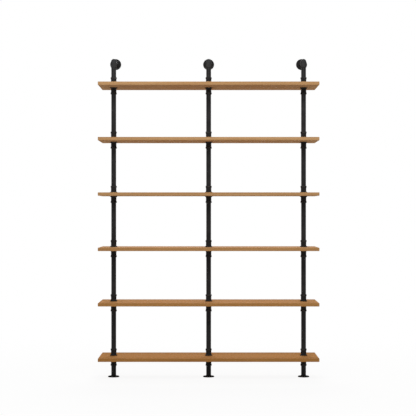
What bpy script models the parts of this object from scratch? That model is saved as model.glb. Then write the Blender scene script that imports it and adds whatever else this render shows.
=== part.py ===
"""Wall shelf on pipe uprights.

Six wooden boards are threaded on three black pipe uprights. Each board is held on each upright between
two collars. The uprights stand on floor flanges, and at the top each one turns back through an elbow
and a short nipple to a wall flange. Metres, +Z up. The origin is on the floor, midway along the boards
and midway across their depth. The wall is at +Y.
"""

import math

import bmesh
import bpy
from mathutils import Matrix

# Boards
BOARD_COUNT = 6
BOARD_WIDTH = 1.200
BOARD_DEPTH = 0.300
BOARD_THICKNESS = 0.018
BOARD_PITCH = 0.300
BOARD_EDGE_EASE = 0.001
LOWEST_UNDERSIDE = 0.100
END_OVERHANG = 0.075

# Pipe
PIPE_DIAMETER = 0.0269
PIPE_WALL = 0.0026
PIPE_END_SETBACK = 0.001

# Shelf collars
COLLAR_LENGTH = 0.0375
COLLAR_NECK_WALL = 0.00125
COLLAR_BAND_PROUD = 0.002
COLLAR_BAND_HEIGHT = 0.0095
COLLAR_SEAT_FLARE = 0.005
COLLAR_SEAT_LIP = 0.0045
COLLAR_FLARE_RISE = 0.0045

# Elbows
ELBOW_RISE = 0.126
ELBOW_WALL = 0.00225
ELBOW_SOCKET_DEPTH = 0.016
ELBOW_CROTCH_RADIUS = 0.001

# Flanges
FLANGE_BRIM = 0.0155
FLANGE_THICKNESS = 0.005
FLANGE_RIM_EASE = 0.001
FLANGE_HUB_WALL = 0.00175
FLANGE_HUB_HEIGHT = 0.004
SCREW_HOLE_DIAMETER = 0.005
SCREW_HOLE_COUNT = 2

# Clearances between neighbouring pieces
FIT_GAP = 0.0003
CUTTER_OVERRUN = 0.010

# Finishes: colour, roughness, metallic
OILED_OAK = ((0.38, 0.22, 0.10), 0.55, 0.0)
BLACK_PIPE = ((0.022, 0.022, 0.024), 0.45, 0.9)
BLACK_CASTING = ((0.018, 0.018, 0.019), 0.60, 0.9)

# Facets of round pieces
PIPE_SIDES = 16
BEND_STEPS = 7
SCREW_HOLE_SIDES = 12
SMOOTH_BELOW = math.radians(35)

# Sizes that follow from the driving ones
FULL_TURN = 2 * math.pi
RIGHT_ANGLE = math.pi / 2
PIPE_RADIUS = PIPE_DIAMETER / 2
PASSAGE_RADIUS = PIPE_RADIUS - PIPE_WALL
SOCKET_RADIUS = PIPE_RADIUS + FIT_GAP
TOP_BOARD_UPPER_FACE = LOWEST_UNDERSIDE + (BOARD_COUNT - 1) * BOARD_PITCH + BOARD_THICKNESS
ELBOW_HEIGHT = TOP_BOARD_UPPER_FACE + ELBOW_RISE
ELBOW_RADIUS = SOCKET_RADIUS + ELBOW_WALL
ELBOW_BEND_RADIUS = ELBOW_RADIUS + ELBOW_CROTCH_RADIUS
ELBOW_REACH = ELBOW_BEND_RADIUS + ELBOW_SOCKET_DEPTH
WALL_PLANE = BOARD_DEPTH / 2
OUTER_UPRIGHT = BOARD_WIDTH / 2 - END_OVERHANG
COLUMNS = {"left": -OUTER_UPRIGHT, "middle": 0.0, "right": OUTER_UPRIGHT}


def clear_scene():
    for old in list(bpy.data.objects):
        bpy.data.objects.remove(old, do_unlink=True)


def finish(name, colour, roughness, metallic):
    """A Principled material of one colour."""
    material = bpy.data.materials.new(name)
    material.use_nodes = True
    shader = material.node_tree.nodes["Principled BSDF"]
    shader.inputs["Base Color"].default_value = (*colour, 1.0)
    shader.inputs["Roughness"].default_value = roughness
    shader.inputs["Metallic"].default_value = metallic
    return material


def mesh_from(bm, name, material):
    """The closed mesh in bm, faces outwards, round parts smooth and corners sharp."""
    bmesh.ops.recalc_face_normals(bm, faces=bm.faces)
    mesh = bpy.data.meshes.new(name)
    bm.to_mesh(mesh)
    bm.free()
    mesh.materials.append(material)
    mesh.shade_smooth()
    mesh.set_sharp_from_angle(angle=SMOOTH_BELOW)
    return mesh


def turned(name, profile, material):
    """A closed loop of (radius, height) corners, turned about Z."""
    bm = bmesh.new()
    corners = [bm.verts.new((radius, 0.0, height)) for radius, height in profile]
    edges = [bm.edges.new(ends) for ends in zip(corners, corners[1:] + corners[:1])]
    bmesh.ops.spin(
        bm,
        geom=corners + edges,
        cent=(0.0, 0.0, 0.0),
        axis=(0.0, 0.0, 1.0),
        angle=FULL_TURN,
        steps=PIPE_SIDES,
        use_merge=True,
    )
    return mesh_from(bm, name, material)


def lofted(name, rings, material):
    """A closed skin through (radius, matrix) rings, where the last ring joins the first."""
    bm = bmesh.new()
    circles = []
    for radius, matrix in rings:
        circle = bmesh.ops.create_circle(bm, segments=PIPE_SIDES, radius=radius, matrix=matrix)
        circles.append(circle["verts"])
    for near, far in zip(circles, circles[1:] + circles[:1]):
        for side in range(PIPE_SIDES):
            bm.faces.new((near[side - 1], near[side], far[side], far[side - 1]))
    return mesh_from(bm, name, material)


def place(name, mesh, parent, location, rotation=(0.0, 0.0, 0.0)):
    piece = bpy.data.objects.new(name, mesh)
    bpy.context.scene.collection.objects.link(piece)
    piece.parent = parent
    piece.location = location
    piece.rotation_euler = rotation
    return piece


def cutter(name, bm, parent, location=(0.0, 0.0, 0.0)):
    """A helper solid that only cuts: hidden from renders and drawn as wire."""
    mesh = bpy.data.meshes.new(name)
    bm.to_mesh(mesh)
    bm.free()
    helper = place(name, mesh, parent, location)
    helper.hide_render = True
    helper.display_type = "WIRE"
    return helper


def cut(piece, helper):
    boolean = piece.modifiers.new(helper.name, "BOOLEAN")
    boolean.operation = "DIFFERENCE"
    boolean.solver = "EXACT"
    boolean.object = helper


def rod(bm, radius, length, sides, matrix):
    """A solid round rod, centred on matrix."""
    bmesh.ops.create_cone(
        bm,
        cap_ends=True,
        segments=sides,
        radius1=radius,
        radius2=radius,
        depth=length,
        matrix=matrix,
    )


def pipe_mesh(name, length, material):
    """A length of pipe, standing on its lower end."""
    profile = [
        (PASSAGE_RADIUS, 0.0),
        (PIPE_RADIUS, 0.0),
        (PIPE_RADIUS, length),
        (PASSAGE_RADIUS, length),
    ]
    return turned(name, profile, material)


def collar_mesh(material):
    """A shelf collar standing on its seat: flared lip, neck, and a band at the far end."""
    neck = SOCKET_RADIUS + COLLAR_NECK_WALL
    band = neck + COLLAR_BAND_PROUD
    seat = neck + COLLAR_SEAT_FLARE
    band_foot = COLLAR_LENGTH - COLLAR_BAND_HEIGHT
    profile = [
        (SOCKET_RADIUS, 0.0),
        (seat, 0.0),
        (seat, COLLAR_SEAT_LIP),
        (neck, COLLAR_SEAT_LIP + COLLAR_FLARE_RISE),
        (neck, band_foot),
        (band, band_foot),
        (band, COLLAR_LENGTH),
        (SOCKET_RADIUS, COLLAR_LENGTH),
    ]
    return turned("collar", profile, material)


def elbow_mesh(material):
    """An elbow with its corner at the origin, one socket facing down and one facing the wall."""

    def down(distance):
        return Matrix.Translation((0.0, 0.0, -distance))

    def back(distance):
        return Matrix.Translation((0.0, distance, 0.0)) @ Matrix.Rotation(-RIGHT_ANGLE, 4, "X")

    def bend(step):
        centre = Matrix.Translation((0.0, ELBOW_BEND_RADIUS, -ELBOW_BEND_RADIUS))
        turn = Matrix.Rotation(-RIGHT_ANGLE * step / BEND_STEPS, 4, "X")
        return centre @ turn @ Matrix.Translation((0.0, -ELBOW_BEND_RADIUS, 0.0))

    steps = range(BEND_STEPS + 1)
    outside = [(ELBOW_RADIUS, down(ELBOW_REACH))]
    outside += [(ELBOW_RADIUS, bend(step)) for step in steps]
    outside += [(ELBOW_RADIUS, back(ELBOW_REACH))]
    inside = [(SOCKET_RADIUS, back(ELBOW_REACH)), (SOCKET_RADIUS, back(ELBOW_BEND_RADIUS))]
    inside += [(PASSAGE_RADIUS, bend(step)) for step in reversed(steps)]
    inside += [(SOCKET_RADIUS, down(ELBOW_BEND_RADIUS)), (SOCKET_RADIUS, down(ELBOW_REACH))]
    return lofted("elbow", outside + inside, material)


def flange_mesh(material):
    """A flange lying on its plate, hub up, bored for the pipe and drilled midway across its brim.

    The first hole is at +Y, so a flange on the wall has its screws above and below the pipe.
    """
    hub = SOCKET_RADIUS + FLANGE_HUB_WALL
    rim = hub + FLANGE_BRIM
    hub_top = FLANGE_THICKNESS + FLANGE_HUB_HEIGHT
    profile = [
        (SOCKET_RADIUS, 0.0),
        (rim, 0.0),
        (rim, FLANGE_THICKNESS - FLANGE_RIM_EASE),
        (rim - FLANGE_RIM_EASE, FLANGE_THICKNESS),
        (hub, FLANGE_THICKNESS),
        (hub, hub_top),
        (SOCKET_RADIUS, hub_top),
    ]
    plain = place("flange_blank", turned("flange_blank", profile, material), None, (0.0, 0.0, 0.0))

    drills = bmesh.new()
    for hole in range(SCREW_HOLE_COUNT):
        turn = Matrix.Rotation(RIGHT_ANGLE + hole * FULL_TURN / SCREW_HOLE_COUNT, 4, "Z")
        middle = Matrix.Translation((hub + FLANGE_BRIM / 2, 0.0, FLANGE_THICKNESS / 2))
        length = FLANGE_THICKNESS + CUTTER_OVERRUN
        rod(drills, SCREW_HOLE_DIAMETER / 2, length, SCREW_HOLE_SIDES, turn @ middle)
    drill = cutter("flange_drills", drills, None)
    cut(plain, drill)

    evaluated = plain.evaluated_get(bpy.context.evaluated_depsgraph_get())
    mesh = bpy.data.meshes.new_from_object(evaluated)
    mesh.name = "flange"
    for helper in (plain, drill):
        bpy.data.objects.remove(helper, do_unlink=True)
    return mesh


def board_mesh(material):
    """A plain board centred on its own middle, with its long edges and ends eased."""
    bm = bmesh.new()
    size = Matrix.Diagonal((BOARD_WIDTH, BOARD_DEPTH, BOARD_THICKNESS, 1.0))
    bmesh.ops.create_cube(bm, size=1.0, matrix=size)
    bmesh.ops.bevel(
        bm,
        geom=list(bm.edges),
        offset=BOARD_EDGE_EASE,
        affect="EDGES",
        segments=1,
        profile=0.5,
        material=-1,
    )
    mesh = mesh_from(bm, "shelf_board", material)
    mesh.shade_flat()
    return mesh


def board_underside(number):
    return LOWEST_UNDERSIDE + (number - 1) * BOARD_PITCH


def add_column(side, x, meshes):
    """One upright with its feet, collars and tie to the wall. Returns the cutter for its bores."""
    column = bpy.data.objects.new(f"column_{side}", None)
    bpy.context.scene.collection.objects.link(column)
    column.location = (x, 0.0, 0.0)

    place(f"floor_flange_{side}", meshes["flange"], column, (0.0, 0.0, 0.0))
    place(f"upright_{side}", meshes["upright"], column, (0.0, 0.0, PIPE_END_SETBACK))
    for number in range(1, BOARD_COUNT + 1):
        under = board_underside(number) - FIT_GAP
        over = board_underside(number) + BOARD_THICKNESS + FIT_GAP
        upside_down = (math.pi, 0.0, 0.0)
        place(f"collar_{side}_{number}_under", meshes["collar"], column, (0.0, 0.0, under), upside_down)
        place(f"collar_{side}_{number}_over", meshes["collar"], column, (0.0, 0.0, over))

    towards_wall = (-RIGHT_ANGLE, 0.0, 0.0)
    towards_room = (RIGHT_ANGLE, 0.0, 0.0)
    nipple_start = ELBOW_BEND_RADIUS + FIT_GAP
    place(f"elbow_{side}", meshes["elbow"], column, (0.0, 0.0, ELBOW_HEIGHT))
    place(f"wall_nipple_{side}", meshes["nipple"], column, (0.0, nipple_start, ELBOW_HEIGHT), towards_wall)
    place(f"wall_flange_{side}", meshes["flange"], column, (0.0, WALL_PLANE, ELBOW_HEIGHT), towards_room)

    bore = bmesh.new()
    height = TOP_BOARD_UPPER_FACE + CUTTER_OVERRUN
    rod(bore, SOCKET_RADIUS, height, PIPE_SIDES, Matrix.Translation((0.0, 0.0, height / 2)))
    return cutter(f"bore_{side}", bore, column)


def build():
    clear_scene()
    oak = finish("oiled_oak", *OILED_OAK)
    black_pipe = finish("black_pipe", *BLACK_PIPE)
    black_casting = finish("black_casting", *BLACK_CASTING)

    upright_length = ELBOW_HEIGHT - ELBOW_BEND_RADIUS - FIT_GAP - PIPE_END_SETBACK
    nipple_length = WALL_PLANE - ELBOW_BEND_RADIUS - FIT_GAP - PIPE_END_SETBACK
    meshes = {
        "upright": pipe_mesh("upright", upright_length, black_pipe),
        "nipple": pipe_mesh("wall_nipple", nipple_length, black_pipe),
        "collar": collar_mesh(black_casting),
        "elbow": elbow_mesh(black_casting),
        "flange": flange_mesh(black_casting),
    }
    bores = [add_column(side, x, meshes) for side, x in COLUMNS.items()]

    board = board_mesh(oak)
    for number in range(1, BOARD_COUNT + 1):
        middle = board_underside(number) + BOARD_THICKNESS / 2
        piece = place(f"shelf_board_{number}", board, None, (0.0, 0.0, middle))
        for bore in bores:
            cut(piece, bore)


build()
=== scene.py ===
# Wall shelf of oak boards on black pipe uprights: its looks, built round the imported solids.

import math

import bmesh
import bpy
from mathutils import Matrix, Vector


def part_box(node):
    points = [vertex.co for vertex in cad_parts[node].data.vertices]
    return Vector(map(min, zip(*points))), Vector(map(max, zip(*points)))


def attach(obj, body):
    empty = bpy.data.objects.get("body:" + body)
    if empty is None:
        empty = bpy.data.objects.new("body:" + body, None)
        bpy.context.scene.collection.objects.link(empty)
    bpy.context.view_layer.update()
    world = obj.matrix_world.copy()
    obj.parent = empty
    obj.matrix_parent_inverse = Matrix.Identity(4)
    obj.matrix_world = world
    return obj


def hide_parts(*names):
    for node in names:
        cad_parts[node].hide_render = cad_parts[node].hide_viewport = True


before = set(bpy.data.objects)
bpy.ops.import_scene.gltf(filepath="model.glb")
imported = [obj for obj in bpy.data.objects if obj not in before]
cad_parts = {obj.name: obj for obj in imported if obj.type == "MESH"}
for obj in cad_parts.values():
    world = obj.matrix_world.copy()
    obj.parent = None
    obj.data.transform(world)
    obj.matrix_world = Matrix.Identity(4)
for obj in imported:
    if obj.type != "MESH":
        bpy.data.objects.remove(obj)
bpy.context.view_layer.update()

scene = bpy.context.scene


# Camera
# The photograph looks level and square at the front from about seven metres, at half the shelf's height.
# The shelf's middle lies a touch right of the picture's middle, and eye level a touch under it.
PICTURE_PIXELS = 416
FOCAL_PIXELS = 1246
SHELF_RIGHT_PIXELS = 0.63
EYE_LEVEL_DROP_PIXELS = 3.0
EYE_DISTANCE = 6.892
EYE_HEIGHT = 0.917
RIGHT_ANGLE = math.pi / 2

lens = bpy.data.cameras.new("camera")
lens.lens = lens.sensor_width * FOCAL_PIXELS / PICTURE_PIXELS
lens.shift_x = -SHELF_RIGHT_PIXELS / PICTURE_PIXELS
lens.shift_y = EYE_LEVEL_DROP_PIXELS / PICTURE_PIXELS
camera = bpy.data.objects.new("camera", lens)
camera.location = (0.0, -EYE_DISTANCE, EYE_HEIGHT)
camera.rotation_euler = (RIGHT_ANGLE, 0.0, 0.0)
scene.collection.objects.link(camera)
scene.camera = camera


# Floor flanges
# Round cast-iron plates, each with a short hub that an upright is screwed into. They are cast in sand,
# bored, drilled and countersunk for two screws, and painted matt black. The plate rests on the floor.
COLUMNS = ("left", "middle", "right")
FLANGE_PLATE = 0.005
FLANGE_HUB_PROUD = 0.00205
FLANGE_FOOT_EASE = 0.0004
FLANGE_RIM_EASE = 0.0018
FLANGE_HUB_FILLET = 0.0022
FLANGE_HUB_EASE = 0.0007
SCREW_HOLES = 2
SCREW_HOLE_RADIUS = 0.0025
SCREW_HEAD_RADIUS = 0.0045
SCREW_HOLE_FACETS = 32
THREAD_GAP = 0.00005
BORE_EASE = 0.0004
DRILL_OVERRUN = 0.001
CUT_NEARNESS = 1e-6
QUAD_SIDES = 4
TURNED_FACETS = 96
EASE_FACETS = 5
SHARP_ANGLE = math.radians(35)
FULL_TURN = 2 * math.pi

CASTING_DEEP = (0.0155, 0.0155, 0.016, 1.0)
CASTING_PALE = (0.034, 0.034, 0.035, 1.0)
CASTING_WORN = (0.085, 0.083, 0.080, 1.0)
CASTING_SHINE = 0.025
CASTING_ROUGHNESS = (0.74, 0.88)
SAND_PER_METRE = 900.0
SAND_DETAIL = 3.0
LUMPS_PER_METRE = 170.0
SKIN_SPAN = (0.70, 1.35)
SKIN_DEPTH = 0.00035
SKIN_STRENGTH = 0.7
RUBBED_PER_METRE = 45.0
RUBBED_SPAN = (0.42, 0.72)
RUBBED_SHARE = (0.0, 0.55)
NOISE_SPAN = (0.30, 0.70)

# The Mix node has its own sockets for each kind of value. These are the ones for colours.
MIX_SHARE = 0
MIX_FIRST_COLOUR = 6
MIX_SECOND_COLOUR = 7
MIXED_COLOUR = 2


def add_node(tree, kind, feeds=(), **options):
    """A shader node with its options set. Each feed is a socket's value, or the socket it is wired to."""
    made = tree.nodes.new(f"ShaderNode{kind}")
    for option, value in options.items():
        setattr(made, option, value)
    for socket, value in dict(feeds).items():
        if isinstance(value, bpy.types.NodeSocket):
            tree.links.new(value, made.inputs[socket])
        else:
            made.inputs[socket].default_value = value
    return made


def new_finish(name, shine):
    """A bare finish: its material, its node tree, its shader and the place on the object."""
    material = bpy.data.materials.new(name)
    material.use_nodes = True
    tree = material.node_tree
    shader = tree.nodes["Principled BSDF"]
    shader.inputs["Specular IOR Level"].default_value = shine
    return material, tree, shader, add_node(tree, "TexCoord").outputs["Object"]


def mottle(tree, place, scale, detail=2.0):
    """Soft random patches, of a size that the scale sets."""
    return add_node(tree, "TexNoise", {"Vector": place, "Scale": scale, "Detail": detail}).outputs["Fac"]


def graded(tree, value, span, into=(0.0, 1.0)):
    """The value, carried from one span of numbers over to another and kept within that."""
    ends = zip(("From Min", "From Max", "To Min", "To Max"), span + into)
    return add_node(tree, "MapRange", {"Value": value, **dict(ends)}).outputs["Result"]


def tinted(tree, share, first, second):
    """The first colour where share is 0, the second where it is 1."""
    feeds = {MIX_SHARE: share, MIX_FIRST_COLOUR: first, MIX_SECOND_COLOUR: second}
    return add_node(tree, "Mix", feeds, data_type="RGBA").outputs[MIXED_COLOUR]


def computed(tree, operation, first, second=0.0):
    """One step of arithmetic on two values, or on the first alone."""
    return add_node(tree, "Math", {0: first, 1: second}, operation=operation).outputs["Value"]


def raised(tree, shader, height, depth, strength):
    """Roughens the surface by height times depth, in metres."""
    bump = add_node(tree, "Bump", {"Height": height, "Distance": depth, "Strength": strength})
    tree.links.new(bump.outputs["Normal"], shader.inputs["Normal"])


def worn_corners(tree):
    """1 on the eased corners of a piece, 0 elsewhere."""
    return add_node(tree, "Attribute", attribute_name="wear").outputs["Fac"]


def make_black_casting(name, deep, pale):
    """Matt black paint over sand-cast iron, rubbed a little along the eased corners."""
    material, tree, shader, place = new_finish(name, CASTING_SHINE)
    sand = mottle(tree, place, SAND_PER_METRE, SAND_DETAIL)
    lumps = mottle(tree, place, LUMPS_PER_METRE)
    skin = computed(tree, "ADD", sand, lumps)
    paint = tinted(tree, graded(tree, skin, SKIN_SPAN), deep, pale)
    patches = graded(tree, mottle(tree, place, RUBBED_PER_METRE), RUBBED_SPAN, RUBBED_SHARE)
    rubbed = computed(tree, "MULTIPLY", worn_corners(tree), patches)
    tree.links.new(tinted(tree, rubbed, paint, CASTING_WORN), shader.inputs["Base Color"])
    tree.links.new(graded(tree, sand, NOISE_SPAN, CASTING_ROUGHNESS), shader.inputs["Roughness"])
    raised(tree, shader, skin, SKIN_DEPTH, SKIN_STRENGTH)
    return material


def bevelled(bm, parts, offset, segments, affect="EDGES"):
    """Rounds the given edges or corner points."""
    return bmesh.ops.bevel(
        bm,
        geom=parts,
        offset=offset,
        offset_type="OFFSET",
        segments=segments,
        profile=0.5,
        affect=affect,
        material=-1,
    )


def turned(corners):
    """A ring turned about Z. Each corner of its section, anticlockwise, is (radius, height, easing)."""
    bm = bmesh.new()
    eased = bm.verts.layers.float.new("eased")
    wear = bm.faces.layers.float.new("wear")
    section = [bm.verts.new((radius, 0.0, height)) for radius, height, easing in corners]
    bm.faces.new(section)
    for place, vert in enumerate(section):
        radius, height, easing = corners[place]
        before = Vector(corners[place - 1][:2])
        after = Vector(corners[(place + 1) % len(corners)][:2])
        here = Vector((radius, height))
        outward = (here - before).cross(after - here) > 0
        for new_vert in bevelled(bm, [vert], easing, EASE_FACETS, "VERTICES")["verts"]:
            new_vert[eased] = float(outward)
    bmesh.ops.delete(bm, geom=bm.faces[:], context="FACES_ONLY")
    bmesh.ops.spin(
        bm,
        geom=bm.verts[:] + bm.edges[:],
        cent=(0.0, 0.0, 0.0),
        axis=(0.0, 0.0, 1.0),
        angle=FULL_TURN,
        steps=TURNED_FACETS,
        use_merge=True,
    )
    bmesh.ops.recalc_face_normals(bm, faces=bm.faces)
    for face in bm.faces:
        face[wear] = min(vert[eased] for vert in face.verts)
    return bm


def cut_away(bm, drills):
    """The solid bm less the solids in drills. The many-sided faces round the holes become triangles."""
    helpers = []
    for name, solid in (("blank", bm), ("drills", drills)):
        mesh = bpy.data.meshes.new(name)
        solid.to_mesh(mesh)
        solid.free()
        helpers.append(bpy.data.objects.new(name, mesh))
        scene.collection.objects.link(helpers[-1])
    boolean = helpers[0].modifiers.new("cut", "BOOLEAN")
    boolean.operation = "DIFFERENCE"
    boolean.solver = "EXACT"
    boolean.object = helpers[1]
    cut = bmesh.new()
    cut.from_object(helpers[0], bpy.context.evaluated_depsgraph_get())
    bmesh.ops.remove_doubles(cut, verts=cut.verts, dist=CUT_NEARNESS)
    many_sided = [face for face in cut.faces if len(face.verts) > QUAD_SIDES]
    bmesh.ops.triangulate(cut, faces=many_sided, quad_method="BEAUTY", ngon_method="BEAUTY")
    for helper in helpers:
        bpy.data.meshes.remove(helper.data)
    return cut


def moved(bm, matrix):
    """A copy of bm, placed by matrix, with its faces pointing outwards."""
    copy = bm.copy()
    bmesh.ops.transform(copy, matrix=matrix, verts=copy.verts)
    bmesh.ops.recalc_face_normals(copy, faces=copy.faces)
    return copy


def fitted(bm, name, material, slot, *nodes):
    """Makes bm a finished piece of the shelf, standing for its nodes."""
    mesh = bpy.data.meshes.new(name)
    bm.to_mesh(mesh)
    bm.free()
    mesh.materials.append(material)
    mesh.shade_smooth()
    mesh.set_sharp_from_angle(angle=SHARP_ANGLE)
    piece = bpy.data.objects.new(name, mesh)
    scene.collection.objects.link(piece)
    piece.modifiers.new("level_faces", "WEIGHTED_NORMAL").keep_sharp = True
    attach(piece, "root")
    if nodes:
        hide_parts(*nodes)


def column_axis(column):
    """Where a column's pipe stands on the floor."""
    low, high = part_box(f"upright_{column}")
    middle = (low + high) / 2
    return Vector((middle.x, middle.y, 0.0))


def make_flange(flange_radius, flange_height, pipe_radius):
    """A flange lying on its plate, hub up, with its screw holes countersunk from the hub side."""
    socket = pipe_radius + THREAD_GAP
    hub = pipe_radius + FLANGE_HUB_PROUD
    blank = turned(
        (
            (socket, 0.0, BORE_EASE),
            (flange_radius, 0.0, FLANGE_FOOT_EASE),
            (flange_radius, FLANGE_PLATE, FLANGE_RIM_EASE),
            (hub, FLANGE_PLATE, FLANGE_HUB_FILLET),
            (hub, flange_height, FLANGE_HUB_EASE),
            (socket, flange_height, BORE_EASE),
        )
    )
    drills = bmesh.new()
    flare = SCREW_HEAD_RADIUS - SCREW_HOLE_RADIUS
    shank = FLANGE_PLATE - flare + DRILL_OVERRUN
    mouth = SCREW_HEAD_RADIUS + DRILL_OVERRUN
    half_facet = Matrix.Rotation(FULL_TURN / SCREW_HOLE_FACETS / 2, 4, "Z")
    for hole in range(SCREW_HOLES):
        turn = Matrix.Rotation(RIGHT_ANGLE + hole * FULL_TURN / SCREW_HOLES, 4, "Z")
        start = Matrix.Translation(((hub + flange_radius) / 2, 0.0, shank / 2 - DRILL_OVERRUN))
        drill = bmesh.ops.create_cone(
            drills,
            cap_ends=True,
            segments=SCREW_HOLE_FACETS,
            radius1=SCREW_HOLE_RADIUS,
            radius2=SCREW_HOLE_RADIUS,
            depth=shank,
            matrix=turn @ start @ half_facet,
        )
        faces = {face for vert in drill["verts"] for face in vert.link_faces}
        top = max(faces, key=lambda face: face.calc_center_median().z)
        middle = top.calc_center_median()
        widened = bmesh.ops.extrude_discrete_faces(drills, faces=[top])["faces"][0]
        bmesh.ops.scale(
            drills,
            vec=Vector((mouth, mouth, SCREW_HOLE_RADIUS)) / SCREW_HOLE_RADIUS,
            space=Matrix.Translation(-middle),
            verts=widened.verts,
        )
        bmesh.ops.translate(drills, vec=(0.0, 0.0, flare + DRILL_OVERRUN), verts=widened.verts)
    return cut_away(blank, drills)


flange_low, flange_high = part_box("floor_flange_left")
pipe_low, pipe_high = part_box("upright_left")
flange_radius = (flange_high.x - flange_low.x) / 2
pipe_radius = (pipe_high.x - pipe_low.x) / 2
flange = make_flange(flange_radius, flange_high.z - flange_low.z, pipe_radius)
black_casting = make_black_casting("black_casting", CASTING_DEEP, CASTING_PALE)
for column in COLUMNS:
    node = f"floor_flange_{column}"
    foot = moved(flange, Matrix.Translation(column_axis(column)))
    fitted(foot, f"{node}_cast", black_casting, "casting_black", node)


# Uprights
# Full-height lengths of welded steel pipe, cut square and painted satin black. Each is screwed into its
# floor flange, passes through all six boards and ends in the elbow at the top.
PIPE_WALL = 0.0026
PIPE_END_EASE = 0.0005
PIPE_STEP = 0.07

PIPE_DEEP = (0.0175, 0.0175, 0.018, 1.0)
PIPE_PALE = (0.030, 0.030, 0.031, 1.0)
PIPE_SHINE = 0.05
PIPE_ROUGHNESS = (0.15, 0.22)
PIPE_DULLER = (0.0, 0.05)
LINES_ALONG = 9.0
LINES_ACROSS = 700.0
LINES_DEPTH = 0.6
PEEL_PER_METRE = 420.0
PEEL_DEPTH = 0.00006
PEEL_STRENGTH = 0.5
CLOUDS_PER_METRE = 22.0


def stretched(tree, place, per_metre):
    """The place with each axis multiplied, so that a pattern on it is drawn out along the low ones."""
    return add_node(tree, "Mapping", {"Vector": place, "Scale": per_metre}).outputs["Vector"]


def make_pipe(length):
    """A length of pipe standing on its lower end."""
    bore = pipe_radius - PIPE_WALL
    pipe = turned(
        (
            (bore, 0.0, PIPE_END_EASE),
            (pipe_radius, 0.0, PIPE_END_EASE),
            (pipe_radius, length, PIPE_END_EASE),
            (bore, length, PIPE_END_EASE),
        )
    )
    long_edges = [edge for edge in pipe.edges if edge.calc_length() > length / 2]
    bmesh.ops.subdivide_edges(pipe, edges=long_edges, cuts=int(length / PIPE_STEP), use_grid_fill=True)
    return pipe


def make_black_pipe(name, along):
    """Satin black paint with faint draw lines along the pipe and a fine orange-peel skin."""
    material, tree, shader, place = new_finish(name, PIPE_SHINE)
    per_metre = [LINES_ALONG if axis == along else LINES_ACROSS for axis in "XYZ"]
    lines = mottle(tree, stretched(tree, place, per_metre), 1.0)
    clouds = mottle(tree, place, CLOUDS_PER_METRE)
    paint = tinted(tree, graded(tree, clouds, NOISE_SPAN), PIPE_DEEP, PIPE_PALE)
    tree.links.new(paint, shader.inputs["Base Color"])
    satin = graded(tree, lines, NOISE_SPAN, PIPE_ROUGHNESS)
    duller = graded(tree, clouds, NOISE_SPAN, PIPE_DULLER)
    tree.links.new(computed(tree, "ADD", satin, duller), shader.inputs["Roughness"])
    peel = mottle(tree, place, PEEL_PER_METRE)
    skin = computed(tree, "ADD", peel, computed(tree, "MULTIPLY", lines, LINES_DEPTH))
    raised(tree, shader, skin, PEEL_DEPTH, PEEL_STRENGTH)
    return material


upright = make_pipe(pipe_high.z - pipe_low.z)
black_upright = make_black_pipe("black_upright", "Z")
for column in COLUMNS:
    node = f"upright_{column}"
    foot = column_axis(column) + Vector((0.0, 0.0, pipe_low.z))
    fitted(moved(upright, Matrix.Translation(foot)), f"{node}_pipe", black_upright, "pipe_black", node)


# Shelf collars
# Cast sleeves slipped over the pipe, one under and one over every board. A flared seat bears on the board,
# a neck follows the pipe and a thicker band at the far end takes the locking screw, tapped in at the back.
BOARD_COUNT = 6
BOARDS = range(1, BOARD_COUNT + 1)
FIT_GAP = 0.0003
COLLAR_NECK_WALL = 0.00125
COLLAR_BAND_PROUD = 0.002
COLLAR_BAND_HEIGHT = 0.0095
COLLAR_LIP = 0.0045
COLLAR_LIP_EASE = 0.0008
COLLAR_FLARE = 0.0041
COLLAR_BAND_FILLET = 0.0008
COLLAR_BAND_EASE = 0.0011
GRUB_HOLE_RADIUS = 0.0025
GRUB_HOLE_FACETS = 24
UPSIDE_DOWN = Matrix.Diagonal((1.0, 1.0, -1.0, 1.0))

collar_low, collar_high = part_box("collar_left_1_over")
collar_seat = (collar_high.x - collar_low.x) / 2
collar_length = collar_high.z - collar_low.z
collar_bore = pipe_radius + FIT_GAP
collar_neck = collar_bore + COLLAR_NECK_WALL
collar_band = collar_neck + COLLAR_BAND_PROUD
band_foot = collar_length - COLLAR_BAND_HEIGHT
band_middle = collar_length - COLLAR_BAND_HEIGHT / 2
collar_blank = turned(
    (
        (collar_bore, 0.0, BORE_EASE),
        (collar_seat, 0.0, COLLAR_LIP_EASE),
        (collar_seat, COLLAR_LIP, COLLAR_LIP_EASE),
        (collar_neck, COLLAR_LIP, COLLAR_FLARE),
        (collar_neck, band_foot, COLLAR_BAND_FILLET),
        (collar_band, band_foot, COLLAR_BAND_EASE),
        (collar_band, collar_length, COLLAR_BAND_EASE),
        (collar_bore, collar_length, BORE_EASE),
    )
)
towards_wall = Matrix.Rotation(-RIGHT_ANGLE, 4, "X")
half_facet = Matrix.Rotation(FULL_TURN / GRUB_HOLE_FACETS / 2, 4, "Z")
grub_drill = bmesh.new()
bmesh.ops.create_cone(
    grub_drill,
    cap_ends=True,
    segments=GRUB_HOLE_FACETS,
    radius1=GRUB_HOLE_RADIUS,
    radius2=GRUB_HOLE_RADIUS,
    depth=collar_seat,
    matrix=Matrix.Translation((0.0, collar_band, band_middle)) @ towards_wall @ half_facet,
)
collar = cut_away(collar_blank, grub_drill)


def collar_place(column, number, position):
    """Sets a collar on its seat, upside down if it is under the board."""
    low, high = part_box(f"collar_{column}_{number}_{position}")
    axis = column_axis(column)
    if position == "over":
        return Matrix.Translation((axis.x, axis.y, low.z))
    return Matrix.Translation((axis.x, axis.y, high.z)) @ UPSIDE_DOWN


collar_places = {
    (column, number, position): collar_place(column, number, position)
    for column in COLUMNS
    for number in BOARDS
    for position in ("under", "over")
}
for (column, number, position), matrix in collar_places.items():
    node = f"collar_{column}_{number}_{position}"
    fitted(moved(collar, matrix), f"{node}_cast", black_casting, "casting_black", node)


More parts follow.
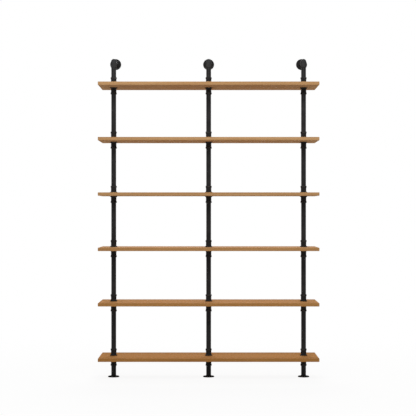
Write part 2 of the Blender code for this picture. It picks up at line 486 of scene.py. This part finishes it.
# Grub screws
# Small black steel screws with a hexagon socket, one in the back of every collar's band. Each is turned in
# until it bites on the pipe and sits a little under the band's face.
GRUB_RADIUS = 0.0024
GRUB_SUNK = 0.0004
GRUB_SOCKET_ACROSS = 0.0025
GRUB_SOCKET_DEPTH = 0.0016
GRUB_DRILL_POINT = 0.0005
GRUB_EASE = 0.0003
GRUB_EASE_FACETS = 2
HEXAGON_STEP = FULL_TURN / 6

STEEL_DEEP = (0.022, 0.022, 0.023, 1.0)
STEEL_PALE = (0.050, 0.050, 0.052, 1.0)
STEEL_SHINE = 0.4
STEEL_ROUGHNESS = (0.30, 0.42)
GRIT_PER_METRE = 1400.0
GRIT_DEPTH = 0.00004
GRIT_STRENGTH = 0.4


def make_grub_screw(length):
    """A screw standing on its tip, with a hexagon socket in its top that ends in the drill's cone."""
    bm = bmesh.new()
    bm.faces.layers.float.new("wear")
    bmesh.ops.create_cone(
        bm,
        cap_ends=True,
        segments=GRUB_HOLE_FACETS,
        radius1=GRUB_RADIUS,
        radius2=GRUB_RADIUS,
        depth=length,
        matrix=Matrix.Translation((0.0, 0.0, length / 2)),
    )
    rims = [edge for edge in bm.edges if edge.calc_face_angle() > SHARP_ANGLE]
    bevelled(bm, rims, GRUB_EASE, GRUB_EASE_FACETS)
    top = max(bm.faces, key=lambda face: face.calc_center_median().z)
    bmesh.ops.inset_individual(bm, faces=[top], thickness=GRUB_EASE)
    for vert in top.verts:
        angle = math.atan2(vert.co.y, vert.co.x)
        off_flat = angle % HEXAGON_STEP - HEXAGON_STEP / 2
        reach = GRUB_SOCKET_ACROSS / 2 / math.cos(off_flat)
        vert.co.xy = (reach * math.cos(angle), reach * math.sin(angle))
    socket_floor = bmesh.ops.extrude_discrete_faces(bm, faces=[top])["faces"][0]
    bmesh.ops.translate(bm, vec=(0.0, 0.0, -GRUB_SOCKET_DEPTH), verts=socket_floor.verts)
    bmesh.ops.poke(bm, faces=[socket_floor], offset=-GRUB_DRILL_POINT)
    return bm


def make_black_steel():
    """Blackened steel, a little glossier than the castings."""
    material, tree, shader, place = new_finish("black_steel", STEEL_SHINE)
    grit = mottle(tree, place, GRIT_PER_METRE)
    blacking = tinted(tree, graded(tree, grit, NOISE_SPAN), STEEL_DEEP, STEEL_PALE)
    tree.links.new(blacking, shader.inputs["Base Color"])
    tree.links.new(graded(tree, grit, NOISE_SPAN, STEEL_ROUGHNESS), shader.inputs["Roughness"])
    raised(tree, shader, grit, GRIT_DEPTH, GRIT_STRENGTH)
    return material


black_steel = make_black_steel()
grub_screw = make_grub_screw(collar_band - GRUB_SUNK - pipe_radius)
grub_seat = Matrix.Translation((0.0, pipe_radius, band_middle)) @ towards_wall
for column in COLUMNS:
    screws = bmesh.new()
    for (collar_column, number, position), matrix in collar_places.items():
        if collar_column == column:
            one = bpy.data.meshes.new("one_screw")
            turned_in = moved(grub_screw, matrix @ grub_seat)
            turned_in.to_mesh(one)
            turned_in.free()
            screws.from_mesh(one)
            bpy.data.meshes.remove(one)
    fitted(screws, f"grub_screws_{column}", black_steel, "pipe_black")


# Shelf boards
# Six solid oak boards, planed, bored for the three uprights, their arrises eased by hand and then oiled.
# Each is cut from another part of the log, so the growth rings run differently through every one.
BOARD_EASE = 0.002
BOARD_EASE_FACETS = 4
BORE_FRAME = 0.064
BORE_FRAME_CUTS = 8


def verts_of(geometry):
    """The corner points in what an operator gives back."""
    return [part for part in geometry if isinstance(part, bmesh.types.BMVert)]


def off_axis(point, axis):
    """How far a point lies from an axis, along X or along Y, whichever is more."""
    return max(abs(point.x - axis.x), abs(point.y - axis.y))


def make_board(low, high, bore_radius):
    """A board between two corners, bored through on every column's axis."""
    bm = bmesh.new()
    wear = bm.faces.layers.float.new("wear")
    middle = (low + high) / 2
    size = high - low
    spread = Matrix.Diagonal((size.x / 2, size.y / 2, 1.0, 1.0))
    outline = Matrix.Translation((middle.x, middle.y, low.z)) @ spread
    bmesh.ops.create_grid(bm, x_segments=1, y_segments=1, size=1.0, matrix=outline)
    axes = [column_axis(column) for column in COLUMNS]
    steps = [BORE_FRAME * (cut / BORE_FRAME_CUTS - 0.5) for cut in range(BORE_FRAME_CUTS + 1)]
    cuts = [(axis + Vector((step, 0.0, 0.0)), (1.0, 0.0, 0.0)) for axis in axes for step in steps]
    cuts += [(axes[0] + Vector((0.0, step, 0.0)), (0.0, 1.0, 0.0)) for step in steps]
    for point, normal in cuts:
        sheet = bm.verts[:] + bm.edges[:] + bm.faces[:]
        bmesh.ops.bisect_plane(bm, geom=sheet, dist=CUT_NEARNESS, plane_co=point, plane_no=normal)
    for axis in axes:
        framed = [face for face in bm.faces if off_axis(face.calc_center_median(), axis) < BORE_FRAME / 2]
        inner = set(framed)
        rim = [edge for face in framed for edge in face.edges if not inner.issuperset(edge.link_faces)]
        bmesh.ops.delete(bm, geom=framed, context="FACES_ONLY")
        bmesh.ops.delete(bm, geom=[edge for edge in bm.edges if not edge.link_faces], context="EDGES")
        for vert in verts_of(bmesh.ops.extrude_edge_only(bm, edges=rim)["geom"]):
            centre = Vector((axis.x, axis.y, vert.co.z))
            vert.co = centre + (vert.co - centre).normalized() * bore_radius
    upper = bmesh.ops.extrude_face_region(bm, geom=bm.faces[:], use_keep_orig=True)["geom"]
    bmesh.ops.translate(bm, vec=(0.0, 0.0, size.z), verts=verts_of(upper))
    bmesh.ops.recalc_face_normals(bm, faces=bm.faces)
    arrises = [edge for edge in bm.edges if edge.calc_face_angle() > SHARP_ANGLE]
    for face in bevelled(bm, arrises, BOARD_EASE, BOARD_EASE_FACETS)["faces"]:
        face[wear] = 1.0
    return bm


OAK_PALE = (0.53, 0.307, 0.136, 1.0)
OAK_MID = (0.42, 0.222, 0.088, 1.0)
OAK_RING = (0.290, 0.141, 0.052, 1.0)
OAK_PORE = (0.120, 0.054, 0.020, 1.0)
OAK_END = (0.190, 0.093, 0.036, 1.0)
OAK_SHINE = 0.03
OAK_ROUGHNESS = (0.72, 0.84)
PORE_ROUGHER = 0.12
OAK_RELIEF = 0.00012
OAK_RELIEF_STRENGTH = 0.5
FIBRE_RELIEF = 0.35

# Painted light and shade: the lower boards are painted darker and redder, the upper ones paler and
# whiter, for the light that is stronger higher up. This grows slowly at first and is fullest three boards
# up.
TOP_BOARD_PAINTED_LIGHT = (1.08, 1.13, 1.22, 1.0)
LOW_BOARD_PAINTED_SHADE = (0.93, 0.80, 0.56, 1.0)
PAINTED_LIGHT_FULL_AFTER = 3
PAINTED_LIGHT_DELAY = 1.5

# The heart of the log lies under each board, a little off its middle, and no two boards meet it alike.
BOARD_SHARE = 0.618
LOG_STEP = 1.7
HEART_DEPTH = 0.09
HEART_DEPTH_SPREAD = 0.06
HEART_ASIDE = 0.10
LOG_TILT = math.radians(0.5)
LOG_SLEW = math.radians(1.6)
RING_WIDTH = 0.0034
RING_SWAY = (0.0, 0.022, 0.022)
NOISE_MIDDLE = (0.5, 0.5, 0.5)

# A wave texture of scale 1 runs through 20 radians in each metre.
WAVE_RADIANS = 20
WAVE_PERIOD = FULL_TURN / WAVE_RADIANS

# Patterns per metre along the board, across it and through it.
SWAY = (1.1, 9.0, 9.0)
BANDS = (0.6, 16.0, 16.0)
STREAKS = (1.4, 95.0, 95.0)
FIBRES = (16.0, 1000.0, 1000.0)
PORES = (95.0, 2800.0, 2800.0)
FLECKS = (40.0, 500.0, 120.0)

EARLY_SPAN = (0.0, 0.45)
EARLY_SHARE = (0.45, 0.0)
BAND_SHARE = (0.0, 0.22)
FIBRE_SPAN = (0.35, 0.75)
FIBRE_SHARE = (0.0, 0.30)
FLECK_SPAN = (0.66, 0.74)
FLECK_SHARE = (0.0, 0.30)
PORE_SPAN = (0.57, 0.65)
PORE_SHARE = (0.9, 0.25)
END_SPAN = (0.55, 0.95)
END_SHARE = (0.0, 0.60)
CORNER_SHARE = (0.05, 0.30)


def make_oiled_oak(number, middle):
    """Oak with its growth rings, fibres and pores along X, seen as end grain on the two short ends."""
    material, tree, shader, place = new_finish(f"oiled_oak_{number}", OAK_SHINE)
    share = (number * BOARD_SHARE) % 1.0
    # Painted light: the board's colours are scaled by its height, from the darker low tone to the paler top
    # one.
    painted_light_share = min(1.0, (number - BOARDS[0]) / PAINTED_LIGHT_FULL_AFTER) ** PAINTED_LIGHT_DELAY
    painted_light_tone = [low + (top - low) * painted_light_share for low, top in zip(LOW_BOARD_PAINTED_SHADE, TOP_BOARD_PAINTED_LIGHT)]
    pale, mid, ring, pore, end_grain = (
        [channel * strength for channel, strength in zip(colour, painted_light_tone)]
        for colour in (OAK_PALE, OAK_MID, OAK_RING, OAK_PORE, OAK_END)
    )

    depth = HEART_DEPTH + HEART_DEPTH_SPREAD * share
    heart = (number * LOG_STEP, HEART_ASIDE * (share - 0.5), depth - middle.z)
    lie = (0.0, LOG_TILT, LOG_SLEW * (share - 0.5))
    log = add_node(tree, "Mapping", {"Vector": place, "Location": heart, "Rotation": lie}).outputs["Vector"]
    sway = add_node(tree, "TexNoise", {"Vector": stretched(tree, log, SWAY), "Scale": 1.0}).outputs["Color"]
    centred = add_node(tree, "VectorMath", {0: sway, 1: NOISE_MIDDLE}, operation="SUBTRACT").outputs[0]
    bent = add_node(tree, "VectorMath", {0: centred, 1: RING_SWAY}, operation="MULTIPLY").outputs[0]
    grain = add_node(tree, "VectorMath", {0: log, 1: bent}, operation="ADD").outputs[0]
    rings = add_node(
        tree,
        "TexWave",
        {"Vector": grain, "Scale": WAVE_PERIOD / RING_WIDTH, "Distortion": 0.0},
        wave_type="RINGS",
        rings_direction="X",
        wave_profile="SAW",
    ).outputs["Fac"]
    bands, streaks, fibres, pores, flecks = (
        mottle(tree, stretched(tree, grain, per_metre), 1.0)
        for per_metre in (BANDS, STREAKS, FIBRES, PORES, FLECKS)
    )

    wood = tinted(tree, graded(tree, streaks, NOISE_SPAN), mid, pale)
    wood = tinted(tree, graded(tree, bands, NOISE_SPAN, BAND_SHARE), wood, ring)
    wood = tinted(tree, graded(tree, rings, EARLY_SPAN, EARLY_SHARE), wood, ring)
    wood = tinted(tree, graded(tree, fibres, FIBRE_SPAN, FIBRE_SHARE), wood, ring)
    wood = tinted(tree, graded(tree, flecks, FLECK_SPAN, FLECK_SHARE), wood, pale)
    in_ring = graded(tree, rings, EARLY_SPAN, PORE_SHARE)
    open_pores = computed(tree, "MULTIPLY", graded(tree, pores, PORE_SPAN), in_ring)
    wood = tinted(tree, open_pores, wood, pore)
    facing = add_node(tree, "SeparateXYZ", {0: add_node(tree, "TexCoord").outputs["Normal"]}).outputs["X"]
    endwise = graded(tree, computed(tree, "ABSOLUTE", facing), END_SPAN, END_SHARE)
    wood = tinted(tree, endwise, wood, end_grain)
    handled = computed(tree, "MULTIPLY", worn_corners(tree), graded(tree, streaks, NOISE_SPAN, CORNER_SHARE))
    wood = tinted(tree, handled, wood, pale)
    tree.links.new(wood, shader.inputs["Base Color"])

    oil = graded(tree, streaks, NOISE_SPAN, OAK_ROUGHNESS)
    dry = computed(tree, "MULTIPLY", open_pores, PORE_ROUGHER)
    tree.links.new(computed(tree, "ADD", oil, dry), shader.inputs["Roughness"])
    relief = computed(tree, "SUBTRACT", computed(tree, "MULTIPLY", fibres, FIBRE_RELIEF), open_pores)
    raised(tree, shader, relief, OAK_RELIEF, OAK_RELIEF_STRENGTH)
    return material


for number in BOARDS:
    node = f"shelf_board_{number}"
    low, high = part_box(node)
    oak = make_oiled_oak(number, (low + high) / 2)
    fitted(make_board(low, high, collar_bore), f"{node}_oak", oak, "board_wood", node)


# Elbows
# Cast right-angle bends with a socket at each end. Their black is painted a shade paler than the other
# castings' as painted light, for the light that falls on the bends. The lower socket takes the upright,
# the rear one the short pipe to the wall.
ELBOW_BEND_RADIUS = 0.017
ELBOW_WALL = 0.00225
ELBOW_RIM_EASE = 0.0008
ELBOW_BEND_FACETS = 24
# Painted light: the elbows' black is paler than the other castings', for the light on their bends.
ELBOW_LIT_DEEP = (0.027, 0.027, 0.0275, 1.0)
ELBOW_LIT_PALE = (0.058, 0.058, 0.059, 1.0)

elbow_low, elbow_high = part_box("elbow_left")
elbow_radius = (elbow_high.x - elbow_low.x) / 2
elbow_height = elbow_high.z - elbow_radius
elbow_reach = elbow_height - elbow_low.z


def edges_of(geometry):
    """The edges in what an operator gives back."""
    return [part for part in geometry if isinstance(part, bmesh.types.BMEdge)]


def make_elbow():
    """An elbow with its corner at the origin, one socket facing down and one facing the wall."""
    bm = bmesh.new()
    wear = bm.faces.layers.float.new("wear")
    straight = elbow_reach - ELBOW_BEND_RADIUS
    mouth = Matrix.Translation((0.0, 0.0, -elbow_reach))
    bmesh.ops.create_circle(bm, segments=TURNED_FACETS, radius=elbow_radius, matrix=mouth)
    socket = bmesh.ops.extrude_edge_only(bm, edges=bm.edges[:])["geom"]
    bmesh.ops.translate(bm, vec=(0.0, 0.0, straight), verts=verts_of(socket))
    bend = bmesh.ops.spin(
        bm,
        geom=verts_of(socket) + edges_of(socket),
        cent=(0.0, ELBOW_BEND_RADIUS, -ELBOW_BEND_RADIUS),
        axis=(1.0, 0.0, 0.0),
        angle=-RIGHT_ANGLE,
        steps=ELBOW_BEND_FACETS,
    )["geom_last"]
    rear = bmesh.ops.extrude_edge_only(bm, edges=edges_of(bend))["geom"]
    bmesh.ops.translate(bm, vec=(0.0, straight, 0.0), verts=verts_of(rear))
    bmesh.ops.recalc_face_normals(bm, faces=bm.faces)
    bmesh.ops.solidify(bm, geom=bm.faces[:], thickness=ELBOW_WALL)
    rims = [edge for edge in bm.edges if edge.calc_face_angle() > SHARP_ANGLE]
    for face in bevelled(bm, rims, ELBOW_RIM_EASE, EASE_FACETS)["faces"]:
        face[wear] = 1.0
    return bm


elbow = make_elbow()
painted_light_elbow = make_black_casting("painted_light_elbow", ELBOW_LIT_DEEP, ELBOW_LIT_PALE)
for column in COLUMNS:
    node = f"elbow_{column}"
    corner = Matrix.Translation(column_axis(column) + Vector((0.0, 0.0, elbow_height)))
    fitted(moved(elbow, corner), f"{node}_cast", painted_light_elbow, "casting_black", node)


# Wall nipples
# Short level lengths of the same pipe, painted like the uprights. Each is screwed into an elbow at the
# front and into a wall flange at the back.
nipple_low, nipple_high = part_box("wall_nipple_left")
nipple = make_pipe(nipple_high.y - nipple_low.y)
black_nipple = make_black_pipe("black_nipple", "Y")
for column in COLUMNS:
    node = f"wall_nipple_{column}"
    start = Vector((column_axis(column).x, nipple_low.y, elbow_height))
    level = moved(nipple, Matrix.Translation(start) @ towards_wall)
    fitted(level, f"{node}_pipe", black_nipple, "pipe_black", node)


# Wall flanges
# The same cast flange as at the feet, turned on its side, hub to the room. Its flat face lies against the
# wall, with one screw above the pipe and one below it.
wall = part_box("wall_flange_left")[1].y
towards_room = Matrix.Rotation(RIGHT_ANGLE, 4, "X")
for column in COLUMNS:
    node = f"wall_flange_{column}"
    back = Vector((column_axis(column).x, wall, elbow_height))
    plate = moved(flange, Matrix.Translation(back) @ towards_room)
    fitted(plate, f"{node}_cast", black_casting, "casting_black", node)


# Studio
# A white floor that keeps the shelf's shadow near the feet, and an even white surround. One soft lamp hangs
# high in front and lights the upper boards' fronts most. Another, high behind, lights the boards' top faces.
FLOOR_SIZE = 12.0
FLOOR_PAINT = (0.84, 0.84, 0.84, 1.0)
FLOOR_FADE = (0.8, 2.4)
FLOOR_WHITENED = (0.92, 1.0)
SURROUND_LIGHT = 0.36
FRONT_LAMP_PLACE = Vector((0.0, -1.9, 2.35))
FRONT_LAMP_WATTS = 37.0
REAR_LAMP_PLACE = Vector((0.0, 2.8, 2.8))
REAR_LAMP_WATTS = 96.0
LAMP_AIM = Vector((0.0, 0.0, 1.0))
LAMP_WIDTH = 2.4
LAMP_DEPTH = 1.2
WHITE = (1.0, 1.0, 1.0, 1.0)

scene.view_settings.view_transform = "Standard"


def seen_directly(tree):
    """1 on rays from the camera and in mirrors and glass, 0 on rays that light the object."""
    rays = add_node(tree, "LightPath").outputs
    mirrored = computed(tree, "MAXIMUM", rays["Is Glossy Ray"], rays["Is Transmission Ray"])
    return computed(tree, "MAXIMUM", rays["Is Camera Ray"], mirrored)


def hang_lamp(name, place, watts):
    """A wide soft lamp, turned to the middle of the shelf."""
    light = bpy.data.lights.new(name, "AREA")
    light.shape = "RECTANGLE"
    light.size = LAMP_WIDTH
    light.size_y = LAMP_DEPTH
    light.energy = watts
    lamp = bpy.data.objects.new(name, light)
    lamp.location = place
    lamp.rotation_euler = (LAMP_AIM - place).to_track_quat("-Z", "Y").to_euler()
    scene.collection.objects.link(lamp)


hang_lamp("front_lamp", FRONT_LAMP_PLACE, FRONT_LAMP_WATTS)
hang_lamp("rear_lamp", REAR_LAMP_PLACE, REAR_LAMP_WATTS)

scene.world = bpy.data.worlds.new("white_surround")
scene.world.use_nodes = True
sky = scene.world.node_tree
sky.nodes.clear()
soft_light = add_node(sky, "Background", {"Color": WHITE, "Strength": SURROUND_LIGHT}).outputs[0]
white = add_node(sky, "Background", {"Color": WHITE, "Strength": 1.0}).outputs[0]
surround = add_node(sky, "MixShader", {0: seen_directly(sky), 1: soft_light, 2: white}).outputs[0]
add_node(sky, "OutputWorld", {"Surface": surround})

pale_floor = bpy.data.materials.new("pale_floor")
pale_floor.use_nodes = True
ground = pale_floor.node_tree
ground.nodes.clear()
matt = add_node(ground, "BsdfDiffuse", {"Color": FLOOR_PAINT}).outputs[0]
glow = add_node(ground, "Emission", {"Color": WHITE, "Strength": 1.0}).outputs[0]
spot = add_node(ground, "TexCoord").outputs["Object"]
away = add_node(ground, "VectorMath", {0: spot}, operation="LENGTH").outputs["Value"]
whiter = graded(ground, away, FLOOR_FADE, FLOOR_WHITENED)
whitened = computed(ground, "MULTIPLY", seen_directly(ground), whiter)
floor_mix = add_node(ground, "MixShader", {0: whitened, 1: matt, 2: glow}).outputs[0]
add_node(ground, "OutputMaterial", {"Surface": floor_mix})

floor_sheet = bmesh.new()
bmesh.ops.create_grid(floor_sheet, x_segments=1, y_segments=1, size=FLOOR_SIZE / 2)
floor_mesh = bpy.data.meshes.new("floor")
floor_sheet.to_mesh(floor_mesh)
floor_sheet.free()
floor_mesh.materials.append(pale_floor)
floor = bpy.data.objects.new("floor", floor_mesh)
scene.collection.objects.link(floor)
